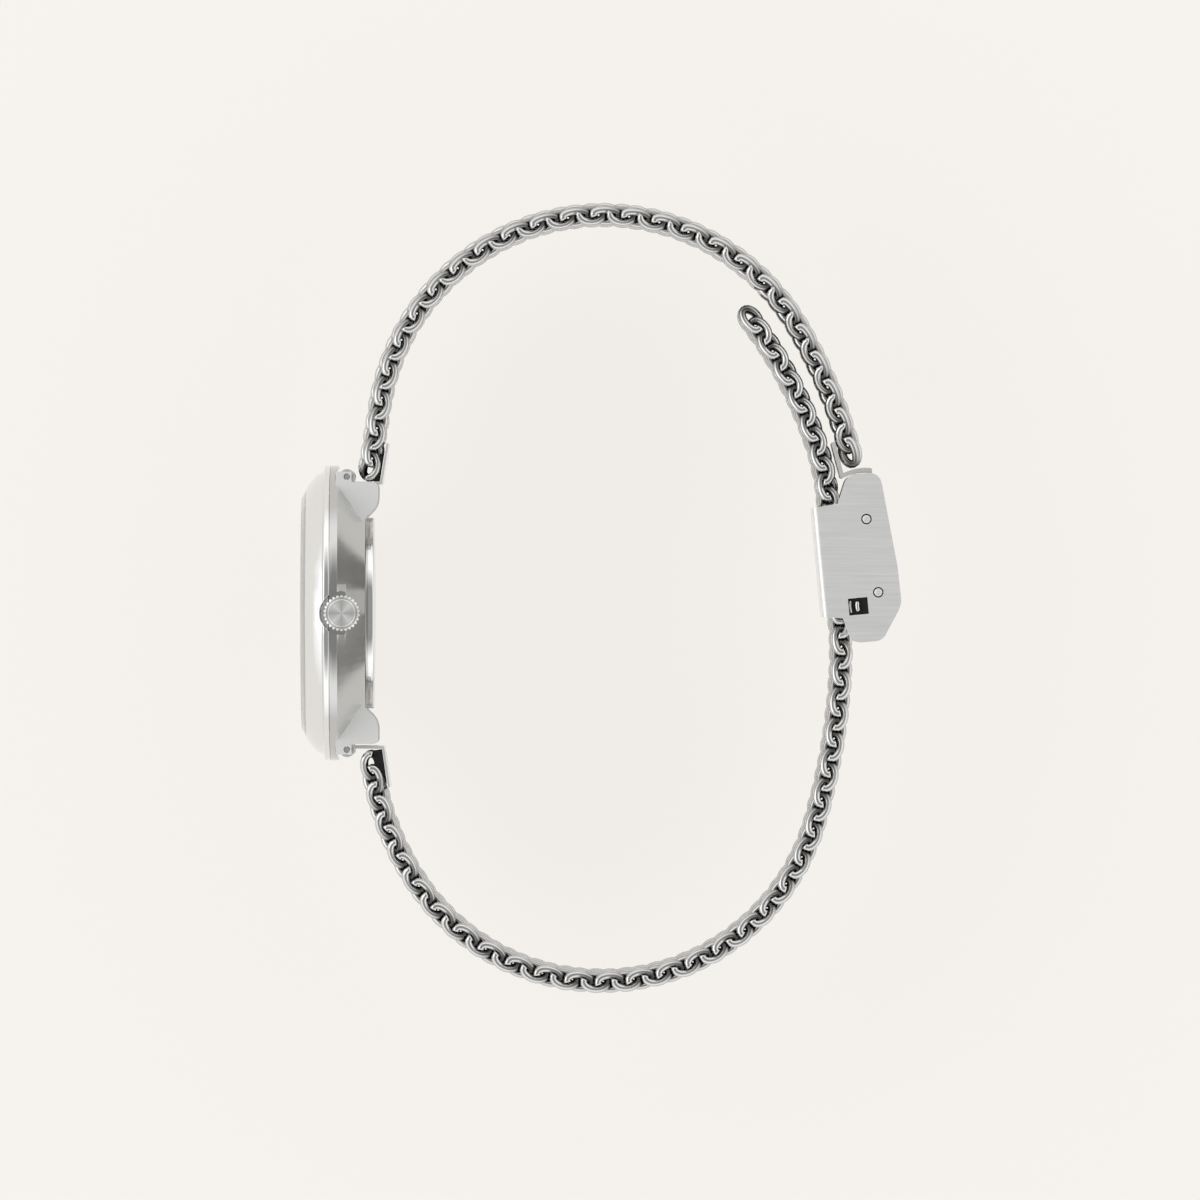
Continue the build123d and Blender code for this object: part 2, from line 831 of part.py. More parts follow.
def clasp_lever():
    """The lever: it covers the hook, and its cam grips the strap in the channel."""
    width = 2 * (channel_half_width - lever_side_gap)
    blank = extrude(lever_outline(), width / 2, both=True)
    bore = Pos(*lever_pin_point) * pin(clasp_pin_radius + running_fit, -width, width)
    return clasp_place * (blank - bore)


def head_nodes():
    """The sub-parts of the watch's head."""
    return {
        "mid_case": mid_case(),
        "bezel": bezel(),
        "crystal": crystal(),
        "dial": dial(),
        "hour_markers": hour_markers(),
        "hour_hand": hour_hand(),
        "minute_hand": minute_hand(),
        "movement": movement(),
        "case_back": case_back(),
        "crown": crown(),
        "crown_tube": crown_tube(),
        "stem": stem(),
        "setting_pinion": setting_pinion(),
    }


def bar_nodes():
    """The two spring bars, each a tube and two sliding tips."""
    nodes = {}
    for name, bar in (("upper", upper_bar), ("lower", lower_bar)):
        nodes[f"{name}_bar_tube"] = bar_tube(bar)
        nodes[f"{name}_bar_tip_crown_side"] = bar_tip(bar, 1)
        nodes[f"{name}_bar_tip_far_side"] = bar_tip(bar, -1)
    return nodes


def strap_nodes():
    """The mesh in its sections, and the folded sheets at its ends."""
    nodes = {
        "upper_strap_end": strap_end(upper_bar, upper_base_drop, upper_rows[0], 1),
        "lower_strap_end": strap_end(lower_bar, lower_base_drop, lower_rows[0], -1),
    }
    for number, section in enumerate(mesh_sections(upper_rows, upper_section_counts), 1):
        nodes[f"upper_mesh_{number}"] = section
    lower = mesh_sections(lower_rows, lower_section_counts + tail_section_counts)
    for number, section in enumerate(lower, 1):
        tail = number - len(lower_section_counts)
        nodes[f"tail_mesh_{tail}" if tail > 0 else f"lower_mesh_{number}"] = section
    return nodes


def clasp_nodes():
    """The clasp, its lever, its two riveted pins and the hook that it holds."""
    return {
        "hook_sheet": hook_sheet(),
        "clasp_body": clasp_body(),
        "clasp_lever": clasp_lever(),
        "hook_bar": clasp_pin(hook_bar_point),
        "lever_pin": clasp_pin(lever_pin_point),
    }


os.makedirs("parts", exist_ok=True)
for node, shape in {**head_nodes(), **bar_nodes(), **strap_nodes(), **clasp_nodes()}.items():
    export_step(shape, f"parts/{node}.step")
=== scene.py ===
import math

import bpy
import numpy as np
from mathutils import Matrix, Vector

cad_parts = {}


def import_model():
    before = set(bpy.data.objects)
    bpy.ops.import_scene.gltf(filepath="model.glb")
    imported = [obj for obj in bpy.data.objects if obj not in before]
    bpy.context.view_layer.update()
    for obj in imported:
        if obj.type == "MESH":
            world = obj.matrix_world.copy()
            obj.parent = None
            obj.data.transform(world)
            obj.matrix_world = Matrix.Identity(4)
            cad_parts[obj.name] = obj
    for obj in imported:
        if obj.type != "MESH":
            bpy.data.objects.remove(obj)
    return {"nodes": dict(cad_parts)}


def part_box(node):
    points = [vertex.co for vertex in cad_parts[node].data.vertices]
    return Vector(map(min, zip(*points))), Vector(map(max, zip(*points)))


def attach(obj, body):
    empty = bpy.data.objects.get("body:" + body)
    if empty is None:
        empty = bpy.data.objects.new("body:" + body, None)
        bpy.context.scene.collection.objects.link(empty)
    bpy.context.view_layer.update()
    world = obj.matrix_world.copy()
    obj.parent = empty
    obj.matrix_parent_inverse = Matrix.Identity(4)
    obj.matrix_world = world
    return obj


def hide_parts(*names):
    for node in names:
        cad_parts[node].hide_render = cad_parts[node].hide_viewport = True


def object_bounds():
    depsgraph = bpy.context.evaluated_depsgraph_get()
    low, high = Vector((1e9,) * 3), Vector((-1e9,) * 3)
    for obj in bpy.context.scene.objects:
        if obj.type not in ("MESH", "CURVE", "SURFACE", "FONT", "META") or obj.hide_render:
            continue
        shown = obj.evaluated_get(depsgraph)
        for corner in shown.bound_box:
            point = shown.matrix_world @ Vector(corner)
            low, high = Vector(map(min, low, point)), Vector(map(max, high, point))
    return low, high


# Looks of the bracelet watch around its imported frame. Lengths named here are in
# millimetres and angles in degrees; mm() turns lengths into the scene's metres. X points
# through the wrist opening to the clasp, Y to 12 o'clock and Z to the crown.

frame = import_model()
cad_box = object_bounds()

# One metre in the script's millimetres
metre = 1000

# Strap mesh: one row is a round wire wound into a flat spiral across the strap
strap_width = 12.0
strap_thickness = 2.2
row_pitch = 1.46
row_half_length = 1.17
turns_per_row = 8
steps_per_turn = 20
wire_diameter = 0.70
wire_sides = 10

# Where the wire is cut at the strap's edge, how much its turns lean, and how far every
# second row is set back along the strap
cut_angle = 158
lean = 0.5
odd_row_shift = -0.11

# How far the wire is tucked in on one face, in the upper and the lower strap, and over how
# many turns from the strap's edge on the crown's side
upper_tuck = 0.34
lower_tuck = 0.16
tuck_depth = 1.1
tuck_run = 0.35

# Painted shade: the wire is painted dark over a run of this length, where shade falls deep in
# the mesh: from this far inside the strap's edge inwards, and from this far off its middle layer
# towards that layer
painted_shade_start = 0.35
painted_shade_level = 0.95
painted_shade_run = 0.6

# The strap's middle line, as in the part: start, heading, and runs of rows with the
# turn from row to row. The clasp stands on one of its rows.
upper_start = (-0.4, 14.0)
upper_heading = 80.9
upper_bends = ((4, 0.0), (36, -3.9), (9, -1.75))
upper_sections = (7, 7, 7, 7, 7, 7, 8)
lower_start = (-0.21, -14.5)
lower_heading = -81.7
lower_bends = ((8, 3.1), (33, 3.96), (10, 1.34), (3, 2.75), (8, 0.0), (4, 3.4), (9, 2.0))
lower_sections = (7, 7, 7, 7, 7, 7, 7, 14)
tail_sections = (6, 7)
clasp_row = 58

# Painted shade: a black block in the corner of each end sheet, measured along, through and
# across the strap from the middle of its first row
painted_shade_block_start = -1.4
painted_shade_block_end = 1.0
painted_shade_block_levels = (0.35, 1.15)
painted_shade_block_reach = 5.3

# Case: painted light on the lugs' sides, a painted highlight that makes them pale and less
# metallic, comes in where a face looks along Z by these shares, and goes out between these
# distances from the middle; elsewhere the band is painted darker, as painted reflection
lug_facing_shares = (0.72, 0.92)
lug_reach = (8.5, 9.5)

# Crown: its axis stands this far in front of the case back's outer face, and its flutes
# are cut into the band just inside its full radius
crown_height = 2.95
crown_radius = 1.72
crown_base_inset = 0.5
crown_edge_round = 0.22
crown_edge_middle = 0.07
crown_flutes = 26
steps_per_flute = 12
crown_flute_depth = 0.16
crown_flute_band = 0.1

# The crown's cap: the groove round it, its edge, the ring cut into it, the points of its hollow
# middle by radius and depth, and its painted highlights: how many rays round the crown's axis,
# and their two greys
crown_cap_rise = 0.22
crown_cap_radius = 1.32
crown_groove = 0.07
crown_cap_edge = 0.08
crown_ring_insets = (0.32, 0.36, 0.40, 0.44)
crown_ring_depth = 0.04
crown_hollow = ((0.4, 0.03), (0.05, 0.09))
crown_highlight_rays = 4
crown_highlight_greys = (0.62, 0.98)

# Clasp rivets, with a groove round each head, painted black as painted shade, and a bevelled
# edge inside it
rivet_radius = 0.5
rivet_groove = 0.13
rivet_groove_depth = 0.3
rivet_edge_width = 0.05
rivet_edge_drop = 0.03
rivet_segments = 48

# The window in each of the clasp's side plates, from the clasp's row, and the black plate of
# painted shade behind it, from the strap's middle
window_across = 1.87
window_along = -4.4
window_width = 1.85
window_height = 1.6
shade_plate_low = 6.07
shade_plate_high = 6.13
shade_plate_margin = 0.1

# Bars that show in a window, each by its place across, its radius and its length. Their gap is
# to the black plate of painted shade, and their ends are rounded by a power curve.
window_bars = ((-0.68, 0.11, 1.2), (-0.02, 0.22, 1.0))
bar_gap = 0.02
bar_bow = 0.08
bar_steps = 17
bar_sides = 12
bar_end_power = 8
bar_end_share = 0.02

# Softened edges: what is welded and flattened first, and the edges that count as sharp
weld_distance = 0.002
flat_angle = 0.5
round_angle = 35
round_segments = 2
face_weight = 100
turned_sharp_angle = 40
case_rounding = 0.12
back_rounding = 0.1
crystal_rounding = 0.08
dial_rounding = 0.03
hand_rounding = 0.02
strap_end_rounding = 0.06
hook_rounding = 0.08
clasp_rounding = 0.12
lever_rounding = 0.08

# The crystal's faces that look along X by this share are its clear front and back
crystal_front_share = 0.95

# Photograph: its picture is this wide, and its middle lies here in X and Y
picture_width = 114.0
picture_middle = (21.42, 1.24)
camera_distance = 2000.0
camera_clip = 10000
sensor_width = 36.0

# Light from all round, as shares of the brightest, by its rise over the horizon: low,
# from the side and from above
world_strength = 1.3
world_low = (0.74, 0.735, 0.725)
world_low_rise = 0.02
world_side = (1.0, 0.995, 0.985)
world_side_rises = (0.3, 0.55)
world_top = (0.27, 0.27, 0.267)
world_top_rise = 0.84

# A square soft lamp at the left
lamp_place = (-450, 100, 360)
lamp_target = (20, 0, 0)
lamp_size = 500
lamp_power = 0.6

# The floor's own colour, and how much of it shows without shadow
floor_size = 6000
floor_color = (0.939, 0.913, 0.871)
floor_plain_share = 0.84


def mm(*values):
    """Millimetres as metres: one number or array, or a vector of several numbers."""
    if len(values) == 1:
        return values[0] / metre
    return Vector(values) / metre


# Materials: noise that isn't stretched, and how much blue the greys hold

even = (1, 1, 1)
blue_share = 0.99


def new_material(name, color, metallic, roughness):
    """A plain material and its shader node."""
    material = bpy.data.materials.new(name)
    material.use_nodes = True
    shader = material.node_tree.nodes["Principled BSDF"]
    shader.inputs["Base Color"].default_value = (*color, 1)
    shader.inputs["Metallic"].default_value = metallic
    shader.inputs["Roughness"].default_value = roughness
    return material, shader


def add_noise(material, stretch, scale, detail=3):
    """Noise on the piece's own axes, drawn out along those with a small stretch."""
    nodes, links = material.node_tree.nodes, material.node_tree.links
    place = nodes.new("ShaderNodeTexCoord")
    mapping = nodes.new("ShaderNodeMapping")
    mapping.inputs["Scale"].default_value = stretch
    noise = nodes.new("ShaderNodeTexNoise")
    noise.inputs["Scale"].default_value = scale
    noise.inputs["Detail"].default_value = detail
    links.new(place.outputs["Object"], mapping.inputs["Vector"])
    links.new(mapping.outputs["Vector"], noise.inputs["Vector"])
    return noise.outputs["Fac"]


def add_range(material, value, target, low, high, start=0.3, end=0.7):
    """Drives a node's number with a value, stretched between two limits."""
    spread = material.node_tree.nodes.new("ShaderNodeMapRange")
    spread.inputs["From Min"].default_value = start
    spread.inputs["From Max"].default_value = end
    spread.inputs["To Min"].default_value = low
    spread.inputs["To Max"].default_value = high
    material.node_tree.links.new(value, spread.inputs["Value"])
    material.node_tree.links.new(spread.outputs["Result"], target)


def add_colors(material, value, target, stops):
    """Drives a shader's colour with a value, through (position, grey) stops."""
    ramp = material.node_tree.nodes.new("ShaderNodeValToRGB")
    elements = ramp.color_ramp.elements
    for number, (position, grey) in enumerate(stops):
        element = elements[number] if number < len(elements) else elements.new(position)
        element.position = position
        element.color = (grey, grey, blue_share * grey, 1)
    material.node_tree.links.new(value, ramp.inputs["Fac"])
    material.node_tree.links.new(ramp.outputs["Color"], target)


def add_bump(material, shader, value, strength, distance=0.05):
    """Fine relief in the surface from a value."""
    bump = material.node_tree.nodes.new("ShaderNodeBump")
    bump.inputs["Strength"].default_value = strength
    bump.inputs["Distance"].default_value = mm(distance)
    material.node_tree.links.new(value, bump.inputs["Height"])
    material.node_tree.links.new(bump.outputs["Normal"], shader.inputs["Normal"])


def axis_size(material, output):
    """How far along Z a texture coordinate's output lies, either way."""
    nodes, links = material.node_tree.nodes, material.node_tree.links
    place = nodes.new("ShaderNodeTexCoord")
    split = nodes.new("ShaderNodeSeparateXYZ")
    size = nodes.new("ShaderNodeMath")
    size.operation = "ABSOLUTE"
    links.new(place.outputs[output], split.inputs["Vector"])
    links.new(split.outputs["Z"], size.inputs[0])
    return size.outputs["Value"]


def polished_steel():
    """Mirror-polished steel, a little hazed by handling."""
    material, shader = new_material("polished_steel", (0.80, 0.80, 0.795), 1.0, 0.08)
    haze = add_noise(material, even, 160)
    add_range(material, haze, shader.inputs["Roughness"], 0.05, 0.12)
    return material


def case_steel():
    """The case band's steel, with painted light: the lug sides that face along Z are painted
    pale and less metallic as a painted highlight, and the rest, the flank among it, darker as
    painted reflection.
    """
    material, shader = new_material("case_steel", (0.80, 0.80, 0.795), 1.0, 0.12)
    lug_side = material.node_tree.nodes.new("ShaderNodeMath")
    lug_side.operation = "MULTIPLY"
    facing, height = axis_size(material, "Normal"), axis_size(material, "Object")
    near, far = (mm(reach) for reach in lug_reach)
    add_range(material, facing, lug_side.inputs[0], 0, 1, *lug_facing_shares)
    add_range(material, height, lug_side.inputs[1], 1, 0, near, far)
    painted_lug_highlight = lug_side.outputs["Value"]
    # Painted light: pale where the lug sides face along Z, as a painted highlight; darker
    # elsewhere, as painted reflection
    add_colors(material, painted_lug_highlight, shader.inputs["Base Color"], ((0.0, 0.56), (1.0, 0.92)))
    add_range(material, painted_lug_highlight, shader.inputs["Metallic"], 1.0, 0.3, 0, 1)
    haze = add_noise(material, even, 160)
    add_range(material, haze, shader.inputs["Roughness"], 0.08, 0.18)
    return material


def crown_steel():
    """The crown's steel, with painted highlights: its colour turns between two greys in rays
    round the crown's axis.
    """
    material, shader = new_material("crown_steel", (0.85, 0.85, 0.845), 0.6, 0.18)
    nodes, links = material.node_tree.nodes, material.node_tree.links
    place = nodes.new("ShaderNodeTexCoord")
    centred = nodes.new("ShaderNodeMapping")
    centred.inputs["Location"].default_value = mm(crown_height, 0, 0)
    rays = nodes.new("ShaderNodeTexGradient")
    rays.gradient_type = "RADIAL"
    links.new(place.outputs["Object"], centred.inputs["Vector"])
    links.new(centred.outputs["Vector"], rays.inputs["Vector"])
    # Painted highlights: two greys that alternate in rays round the crown's axis
    half_rays = 2 * crown_highlight_rays
    stops = [(half / half_rays, crown_highlight_greys[half % 2]) for half in range(half_rays + 1)]
    add_colors(material, rays.outputs["Fac"], shader.inputs["Base Color"], stops)
    haze = add_noise(material, even, 900)
    add_range(material, haze, shader.inputs["Roughness"], 0.13, 0.24)
    return material


def wire_steel():
    """The mesh's wire, with painted shade that darkens it deep inside the strap."""
    material, shader = new_material("wire_steel", (0.62, 0.62, 0.61), 1.0, 0.14)
    # Painted shade: the 'inside' attribute darkens the wire towards black deep in the strap
    depth = material.node_tree.nodes.new("ShaderNodeAttribute")
    depth.attribute_name = "inside"
    stops = ((0.0, 0.63), (1.0, 0.02))
    add_colors(material, depth.outputs["Fac"], shader.inputs["Base Color"], stops)
    haze = add_noise(material, even, 700)
    add_range(material, haze, shader.inputs["Roughness"], 0.10, 0.2)
    return material


def brushed_steel():
    """The clasp's steel, brushed across the strap in fine short lines."""
    material, shader = new_material("brushed_steel", (0.92, 0.92, 0.91), 0.6, 0.38)
    lines = add_noise(material, (0.3, 9.0, 0.3), 700, 4)
    add_colors(material, lines, shader.inputs["Base Color"], ((0.2, 0.85), (0.8, 0.95)))
    add_range(material, lines, shader.inputs["Roughness"], 0.33, 0.43)
    add_bump(material, shader, lines, 0.1)
    return material


def satin_sheet():
    """The folded sheets' and pins' steel, with a soft drawn finish."""
    material, shader = new_material("satin_sheet", (0.86, 0.86, 0.85), 0.65, 0.2)
    lines = add_noise(material, (1, 1, 0.1), 900)
    add_range(material, lines, shader.inputs["Roughness"], 0.15, 0.28)
    return material


def dial_paint():
    """The dial's silvered face, with a faint grain."""
    material, shader = new_material("dial_paint", (0.80, 0.80, 0.78), 0.3, 0.35)
    grain = add_noise(material, even, 2500)
    add_bump(material, shader, grain, 0.08)
    return material


def hand_steel():
    """The dark polished steel of the hands and the hour markers."""
    material, shader = new_material("hand_steel", (0.45, 0.45, 0.46), 1.0, 0.15)
    haze = add_noise(material, even, 1500)
    add_range(material, haze, shader.inputs["Roughness"], 0.1, 0.2)
    return material


def movement_brass():
    """The movement's brass plate, finely grained."""
    material, shader = new_material("movement_brass", (0.70, 0.56, 0.28), 1.0, 0.3)
    grain = add_noise(material, (1, 1, 0.1), 900)
    add_bump(material, shader, grain, 0.1)
    return material


def painted_shade_black():
    """Black for painted shade: behind the clasp's windows, in the rivets' grooves and in the
    corners of the end sheets.
    """
    material, shader = new_material("painted_shade_black", (0.02, 0.02, 0.02), 0.4, 0.5)
    grain = add_noise(material, even, 1500)
    add_range(material, grain, shader.inputs["Roughness"], 0.4, 0.65)
    return material


def crystal_glass(name, clearness, roughness):
    """Glass, faintly milky where its clearness is less than one."""
    material, shader = new_material(name, (0.98, 0.985, 0.98), 0.0, roughness)
    shader.inputs["IOR"].default_value = 1.5
    shader.inputs["Transmission Weight"].default_value = clearness
    haze = add_noise(material, even, 160)
    add_range(material, haze, shader.inputs["Roughness"], roughness / 2, roughness)
    return material


polished = polished_steel()
case = case_steel()
crown_metal = crown_steel()
wire = wire_steel()
brushed = brushed_steel()
sheet = satin_sheet()
paint = dial_paint()
dark_steel = hand_steel()
brass = movement_brass()
glass = crystal_glass("crystal_glass", 1.0, 0.03)
glass_edge = crystal_glass("crystal_edge", 0.55, 0.08)
black = painted_shade_black()


# Shape helpers


def new_object(name, vertices, faces, material, body, smooth=True):
    """A mesh piece that rides on a body of the frame."""
    mesh = bpy.data.meshes.new(name)
    mesh.from_pydata(vertices, [], faces)
    mesh.validate()
    mesh.polygons.foreach_set("use_smooth", [smooth] * len(mesh.polygons))
    mesh.materials.append(material)
    piece = bpy.data.objects.new(name, mesh)
    bpy.context.scene.collection.objects.link(piece)
    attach(piece, body)
    return piece


def soften(piece, width):
    """Rounds a piece's sharp edges by a small width and smooths its round faces."""
    join = piece.modifiers.new("join", "WELD")
    join.merge_threshold = mm(weld_distance)
    flat = piece.modifiers.new("flat", "DECIMATE")
    flat.decimate_type = "DISSOLVE"
    flat.angle_limit = math.radians(flat_angle)
    bevel = piece.modifiers.new("round", "BEVEL")
    bevel.width = mm(width)
    bevel.segments = round_segments
    bevel.limit_method = "ANGLE"
    bevel.angle_limit = math.radians(round_angle)
    bevel.use_clamp_overlap = True
    weighted = piece.modifiers.new("even", "WEIGHTED_NORMAL")
    weighted.weight = face_weight
    for polygon in piece.data.polygons:
        polygon.use_smooth = True


def dress(node, material, width=None):
    """Gives a node of the frame its material and its softened edges."""
    piece = frame["nodes"][node]
    piece.data.materials.clear()
    piece.data.materials.append(material)
    if width:
        soften(piece, width)
    return piece


def ring_faces(ring_count, sides):
    """Faces between rings of corners one after another, closed at both ends."""
    faces = []
    for ring in range(ring_count - 1):
        low, high = ring * sides, (ring + 1) * sides
        for corner in range(sides):
            beside = (corner + 1) % sides
            faces.append((low + corner, low + beside, high + beside, high + corner))
    last = (ring_count - 1) * sides
    faces.append(tuple(reversed(range(sides))))
    faces.append(tuple(range(last, last + sides)))
    return faces


def tube_around(line, radius, sides):
    """Corners and faces of a round wire that follows a line, closed at both ends."""
    ahead = np.gradient(line, axis=0)
    ahead /= np.linalg.norm(ahead, axis=1)[:, None]
    angles = 2 * math.pi * np.arange(sides) / sides
    side = np.cross(ahead[0], (0.0, 0.0, 1.0))
    rings = []
    for point, direction in zip(line, ahead):
        side = side - direction * np.dot(side, direction)
        side /= np.linalg.norm(side)
        up = np.cross(direction, side)
        circle = np.outer(np.cos(angles), side) + np.outer(np.sin(angles), up)
        rings.append(point + radius * circle)
    return np.concatenate(rings), ring_faces(len(rings), sides)


# Strap mesh


def polar(centre, radius, angle):
    """The point at a radius and an angle about a centre."""
    turn = math.radians(angle)
    return (centre[0] + radius * math.cos(turn), centre[1] + radius * math.sin(turn))


def strap_rows(start, heading, bends):
    """The middle point and the heading of each row along the strap."""
    rows = [(start, heading)]
    for count, turn in bends:
        for _ in range(count):
            hinge = polar(rows[-1][0], row_pitch / 2, rows[-1][1])
            new_heading = rows[-1][1] + turn
            rows.append((polar(hinge, row_pitch / 2, new_heading), new_heading))
    return rows


def row_line(odd, tuck):
    """The wire's middle line in one row: along the strap, through it and across it.
    Odd rows are wound the other way."""
    count = turns_per_row * steps_per_turn
    turn = math.radians(cut_angle) + np.linspace(0, 2 * math.pi * turns_per_row, count + 1)
    pitch = (strap_width - wire_diameter) / turns_per_row
    sway = lean / 2 * (np.sin(2 * turn) - math.sin(2 * turn[0]))
    depth = (turn - turn[0] - sway) * pitch / (2 * math.pi)
    across = (strap_width - wire_diameter) / 2 - depth
    side = -np.sin(turn) if odd else np.sin(turn)
    nearness = np.clip((tuck_depth - depth / pitch) / tuck_run, 0, 1)
    along = row_half_length * np.cos(turn) + (odd_row_shift if odd else 0)
    level = (strap_thickness - wire_diameter) / 2 * side
    level -= np.clip(side, 0, 1) * tuck * nearness
    return np.stack([along, level, across], axis=1)


def row_shapes(tuck):
    """The two rows that alternate along the strap."""
    lines = (row_line(odd, tuck) for odd in (False, True))
    return [tube_around(line, wire_diameter / 2, wire_sides) for line in lines]


def painted_shade_depth(corners):
    """How much painted shade each corner of a row takes, from 0 to 1, by how deep inside the
    strap it lies.
    """
    _, level, across = np.abs(corners).T
    from_edge = np.clip((strap_width / 2 - across - painted_shade_start) / painted_shade_run, 0, 1)
    from_face = np.clip((painted_shade_level - level) / painted_shade_run, 0, 1)
    return from_edge * from_face


def row_at(place, row_corners):
    """The corners of a row of mesh set on the strap's middle line, in metres."""
    (x, y), heading = place
    cosine, sine = math.cos(math.radians(heading)), math.sin(math.radians(heading))
    along, level, across = row_corners.T
    turned_x = x + along * cosine - level * sine
    turned_y = y + along * sine + level * cosine
    return mm(np.stack([turned_x, turned_y, across], axis=1))


def mesh_section(node, body, rows, first_row, shapes):
    """One section of the strap: its rows of wire as one piece."""
    corners, faces, painted_shade_depths = [], [], []
    for number, place in enumerate(rows):
        row_corners, row_faces = shapes[(first_row + number) % 2]
        first = number * len(row_corners)
        corners.append(row_at(place, row_corners))
        painted_shade_depths.append(painted_shade_depth(row_corners))
        faces += [tuple(first + corner for corner in face) for face in row_faces]
    corners = np.concatenate(corners).tolist()
    piece = new_object(f"{node}_wire", corners, faces, wire, body)
    # Painted shade: how dark each corner is painted, kept in the wire's 'inside' attribute
    inside = piece.data.attributes.new("inside", "FLOAT", "POINT")
    inside.data.foreach_set("value", np.concatenate(painted_shade_depths))
    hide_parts(node)


def mesh_run(node, body, rows, first, counts, shapes):
    """Sections of mesh one after another. Returns the row that follows them."""
    for number, count in enumerate(counts, 1):
        section = rows[first : first + count]
        mesh_section(f"{node}_{number}", f"{body}_{number}", section, first, shapes)
        first += count
    return first


def strap_mesh():
    """Every section of the strap, from the lugs to the hook and to the tail. Returns
    the place of the row that the clasp stands on."""
    upper_shapes, lower_shapes = row_shapes(upper_tuck), row_shapes(lower_tuck)
    upper = strap_rows(upper_start, upper_heading, upper_bends)
    lower = strap_rows(lower_start, lower_heading, lower_bends)
    mesh_run("upper_mesh", "upper_strap", upper, 0, upper_sections, upper_shapes)
    done = mesh_run("lower_mesh", "lower_strap", lower, 0, lower_sections, lower_shapes)
    mesh_run("tail_mesh", "strap_tail", lower, done, tail_sections, lower_shapes)
    return lower[clasp_row]


# Faces of a block with corners 0 to 3 round its lower end and 4 to 7 round its upper end

block_faces = [
    (3, 2, 1, 0),
    (4, 5, 6, 7),
    (0, 1, 5, 4),
    (1, 2, 6, 5),
    (2, 3, 7, 6),
    (3, 0, 4, 7),
]


def painted_shade_block(name, body, place, side):
    """A black block of painted shade in the corner of a strap's end sheet, by its first row."""
    low, high = sorted((side * painted_shade_block_levels[0], side * painted_shade_block_levels[1]))
    section = (
        (painted_shade_block_start, low),
        (painted_shade_block_end, low),
        (painted_shade_block_end, high),
        (painted_shade_block_start, high),
    )
    corners = [(*point, across) for across in (-painted_shade_block_reach, painted_shade_block_reach) for point in section]
    corners = row_at(place, np.array(corners)).tolist()
    new_object(name, corners, block_faces, black, body, smooth=False)


# Turned pieces


def turned_piece(name, rings, centre, material, body, segments, radius_at=None):
    """A piece turned about the Z axis through a centre, from (radius, height) rings."""
    corners = []
    for radius, height in rings:
        for step in range(segments):
            turn = 2 * math.pi * step / segments
            reach = radius_at(radius, turn) if radius_at else radius
            x = centre[0] + reach * math.cos(turn)
            y = centre[1] + reach * math.sin(turn)
            corners.append(mm(x, y, height))
    faces = ring_faces(len(rings), segments)
    piece = new_object(name, corners, faces, material, body)
    piece.data.set_sharp_from_angle(angle=math.radians(turned_sharp_angle))
    return piece


def fluted(radius, turn):
    """The crown's radius at an angle: its rim is cut into flutes."""
    if radius < crown_radius - crown_flute_band:
        return radius
    wave = 0.5 + 0.5 * math.cos(crown_flutes * turn)
    return radius - crown_flute_depth * wave**2


def crown():
    """The crown: a fluted rim with rounded edges and a stepped cap with a groove."""
    low, high = (corner.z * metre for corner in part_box("crown"))
    rim_top = high - crown_cap_rise
    cap = crown_cap_radius
    outer, outer_floor, inner_floor, inner = (cap - inset for inset in crown_ring_insets)
    rings = [
        (crown_radius - crown_base_inset, low),
        (crown_radius - crown_edge_round, low),
        (crown_radius, low + crown_edge_round),
        (crown_radius, rim_top - crown_edge_round),
        (crown_radius - crown_edge_middle, rim_top - crown_edge_middle),
        (crown_radius - crown_edge_round, rim_top),
        (cap + crown_groove, rim_top),
        (cap + crown_groove, rim_top - crown_groove),
        (cap, rim_top - crown_groove),
        (cap, high - crown_cap_edge),
        (cap - crown_cap_edge, high),
        (outer, high),
        (outer_floor, high - crown_ring_depth),
        (inner_floor, high - crown_ring_depth),
        (inner, high),
    ]
    rings += [(radius, high - depth) for radius, depth in crown_hollow]
    centre = (-crown_height, 0)
    segments = crown_flutes * steps_per_flute
    piece = turned_piece(
        "crown_fluted", rings, centre, crown_metal, "crown", segments, fluted
    )
    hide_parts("crown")


def rivet(node, body):
    """A riveted pin, with a fine groove round each of its two heads, painted black as painted
    shade.
    """
    low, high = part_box(node)
    centre = ((low.x + high.x) / 2 * metre, (low.y + high.y) / 2 * metre)
    end = high.z * metre
    neck = rivet_radius - rivet_groove
    rings = [
        (neck - rivet_edge_width, -end),
        (neck, rivet_edge_drop - end),
        (neck, rivet_groove_depth - end),
        (rivet_radius, rivet_groove_depth - end),
        (rivet_radius, end - rivet_groove_depth),
        (neck, end - rivet_groove_depth),
        (neck, end - rivet_edge_drop),
        (neck - rivet_edge_width, end),
    ]
    # The groove's faces are painted black as painted shade
    painted_shade_bands = (1, 2, 4, 5)
    piece = turned_piece(f"{node}_rivet", rings, centre, brushed, body, rivet_segments)
    piece.data.materials.append(black)
    for band in painted_shade_bands:
        for face in range(band * rivet_segments, (band + 1) * rivet_segments):
            piece.data.polygons[face].material_index = 1
    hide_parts(node)


# Clasp windows


def in_clasp(corners):
    """Corners given across, along and through the clasp, set in place, in metres."""
    across, along, height = np.array(corners).T
    place = (clasp_point, clasp_heading)
    return row_at(place, np.stack([along, -across, height], axis=1)).tolist()


